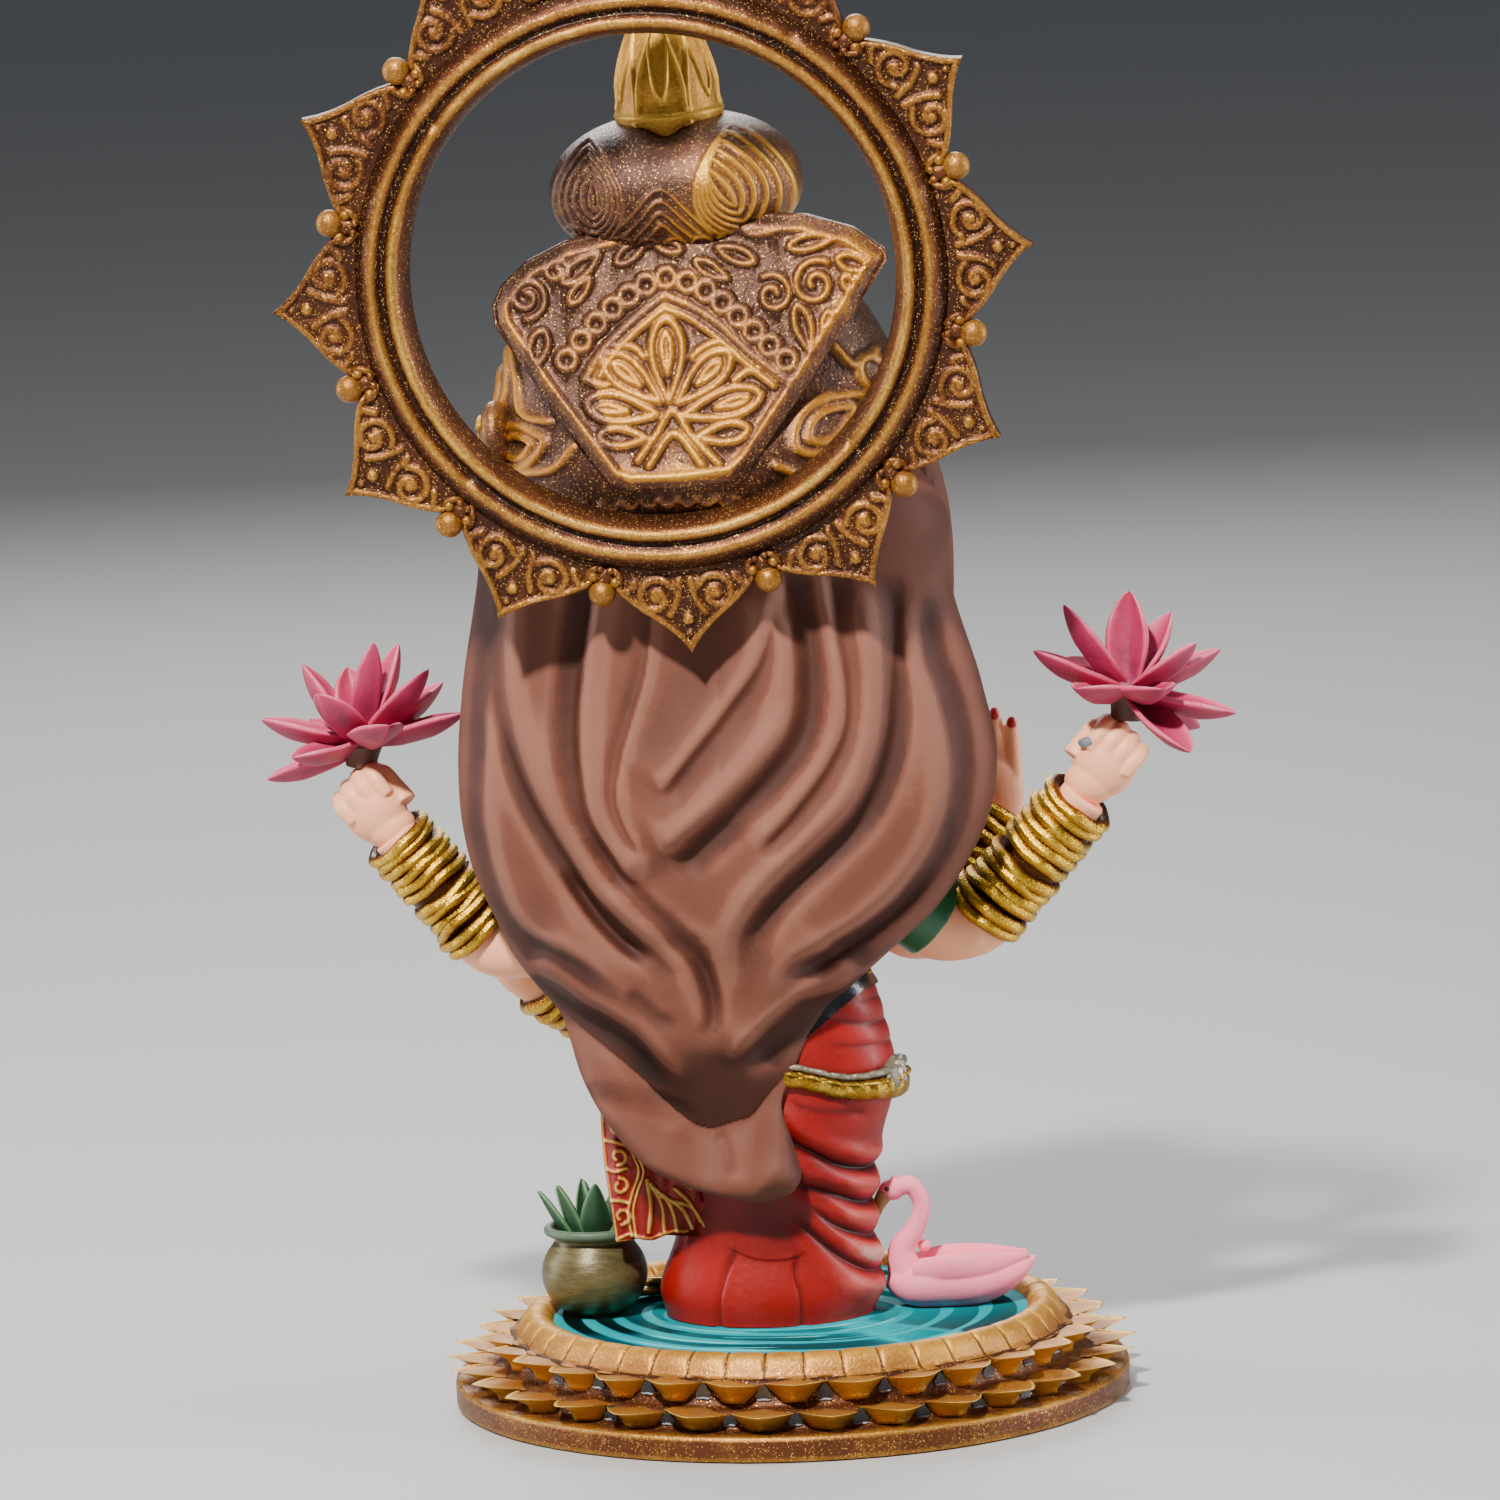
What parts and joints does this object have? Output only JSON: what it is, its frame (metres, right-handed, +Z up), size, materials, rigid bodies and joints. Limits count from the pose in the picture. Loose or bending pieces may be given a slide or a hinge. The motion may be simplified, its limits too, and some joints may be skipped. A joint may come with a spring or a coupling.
{
  "type": "goddess figurine",
  "caption": "Painted figurine of a many-armed goddess with long hair, lotuses in its raised hands and a petalled halo, standing in a pool on a round lotus base.",
  "frame": {"origin": "centre of the round base's underside", "axes": "+Z up, the figure faces -Y with its long hair and halo to +Y, +X is the side of its left hands"},
  "size_m": [0.1093, 0.0778, 0.1685],
  "materials": {
    "bronze": "bronze paint on cast resin, dry-brushed with gold on the raised edges, glittering grain",
    "painted_resin": "matt hand paint on cast resin: mauve-brown hair, peach skin, red sari, green blouse, gold jewellery",
    "lotus_pink": "pink paint with grey-blue shading",
    "pot_olive": "olive brass paint, brushed, with green leaves",
    "swan_pink": "pink paint, grey neck and yellow beak",
    "coin_gold": "gold paint"
  },
  "bodies": {
    "root": {"lotus_base": "bronze", "figure": "painted_resin", "halo": "bronze", "left_lotus": "lotus_pink", "right_lotus": "lotus_pink", "water_pot": "pot_olive", "swan": "swan_pink", "coin_heap": "coin_gold"}
  },
  "joints": []
}
